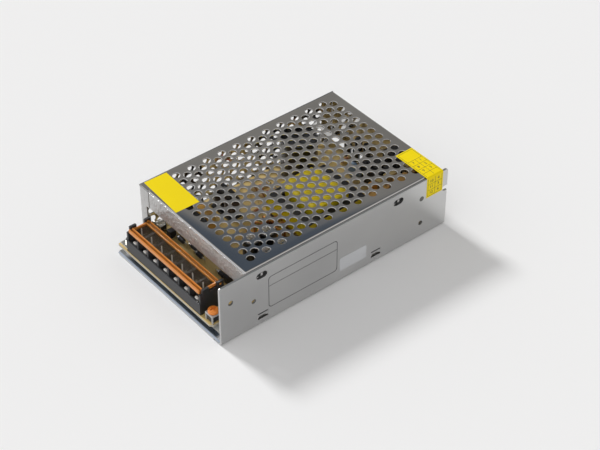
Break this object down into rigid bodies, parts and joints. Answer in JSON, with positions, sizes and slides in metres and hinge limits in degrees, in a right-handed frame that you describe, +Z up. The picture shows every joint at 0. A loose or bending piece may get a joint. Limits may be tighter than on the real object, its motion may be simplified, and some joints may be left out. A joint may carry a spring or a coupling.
{
  "type": "enclosed switching power supply",
  "caption": "Enclosed power supply: folded chassis with perforated cover, circuit board with its parts, and a screw terminal block under a hinged guard.",
  "frame": {"origin": "bottom centre of the whole box, on the plate's underside", "axes": "+X from the terminals to the rear, +Y from the plain side wall to the perforated side wall, +Z up"},
  "size_m": [0.159, 0.097, 0.0405],
  "materials": {
    "chassis_aluminium": "satin",
    "cover_steel": "satin sheet",
    "bright_steel": "bright zinc",
    "nickel": "nickel plated",
    "film": "matte",
    "laminate": "matte",
    "black_moulding": "semi gloss",
    "amber_clear": "clear amber",
    "pale_moulding": "gloss",
    "orange_plastic": "gloss",
    "green_lens": "clear",
    "ferrite": "matte",
    "yellow_tape": "gloss tape",
    "taped_winding": "taped copper",
    "dark_sleeve": "shrink sleeve",
    "amber_box": "gloss",
    "blue_disc": "gloss",
    "dark_disc": "matte",
    "copper_wire": "enamelled",
    "yellow_ring": "painted",
    "clear_tube": "clear",
    "grey_pad": "matte",
    "tan_body": "matte"
  },
  "bodies": {
    "case": {"chassis": "chassis_aluminium", "cover": "cover_steel", "cover_screws": "bright_steel", "insulation_sheet": "film", "circuit_board": "laminate", "board_standoffs": "bright_steel", "board_screws": "bright_steel", "earth_plate": "nickel", "terminal_block": "black_moulding", "terminal_contacts": "nickel", "terminal_washers": "nickel", "terminal_screws": "bright_steel", "trimmer_body": "pale_moulding", "power_lamp": "green_lens", "transformer_core": "ferrite", "transformer_tape": "yellow_tape", "transformer_winding": "taped_winding", "transformer_bobbin": "black_moulding", "bulk_capacitor": "dark_sleeve", "output_capacitors": "dark_sleeve", "small_capacitors": "dark_sleeve", "x_capacitor": "amber_box", "y_capacitor": "blue_disc", "thermistor": "dark_disc", "inductor_core": "yellow_ring", "inductor_winding": "copper_wire", "choke_core": "ferrite", "choke_base": "black_moulding", "choke_winding": "copper_wire", "fuse_tube": "clear_tube", "fuse_caps": "nickel", "fuse_clips": "nickel", "bridge_rectifier": "black_moulding", "driver_transformer_core": "ferrite", "driver_transformer_bobbin": "black_moulding", "power_transistors": "black_moulding", "transistor_insulator": "grey_pad", "transistor_clamp": "bright_steel", "clamp_screw": "bright_steel", "output_rectifier": "black_moulding", "rectifier_insulator": "grey_pad", "rectifier_clamp": "bright_steel", "rectifier_stud": "bright_steel", "controller_ic": "black_moulding", "resistors": "tan_body"},
    "guard": {"terminal_guard": "amber_clear"},
    "adjuster": {"trimmer_rotor": "orange_plastic"}
  },
  "joints": [
    {"name": "guard_hinge", "type": "hinge", "parent": "case", "child": "guard", "pos_m": [-0.0645, 0.00491, 0.0222], "axis": [0, 1, 0], "range_deg": [0, 95]},
    {"name": "adjuster_turn", "type": "hinge", "parent": "case", "child": "adjuster", "pos_m": [-0.0746, -0.0355, 0.014], "axis": [0, 0, 1], "range_deg": [-130, 130]}
  ]
}
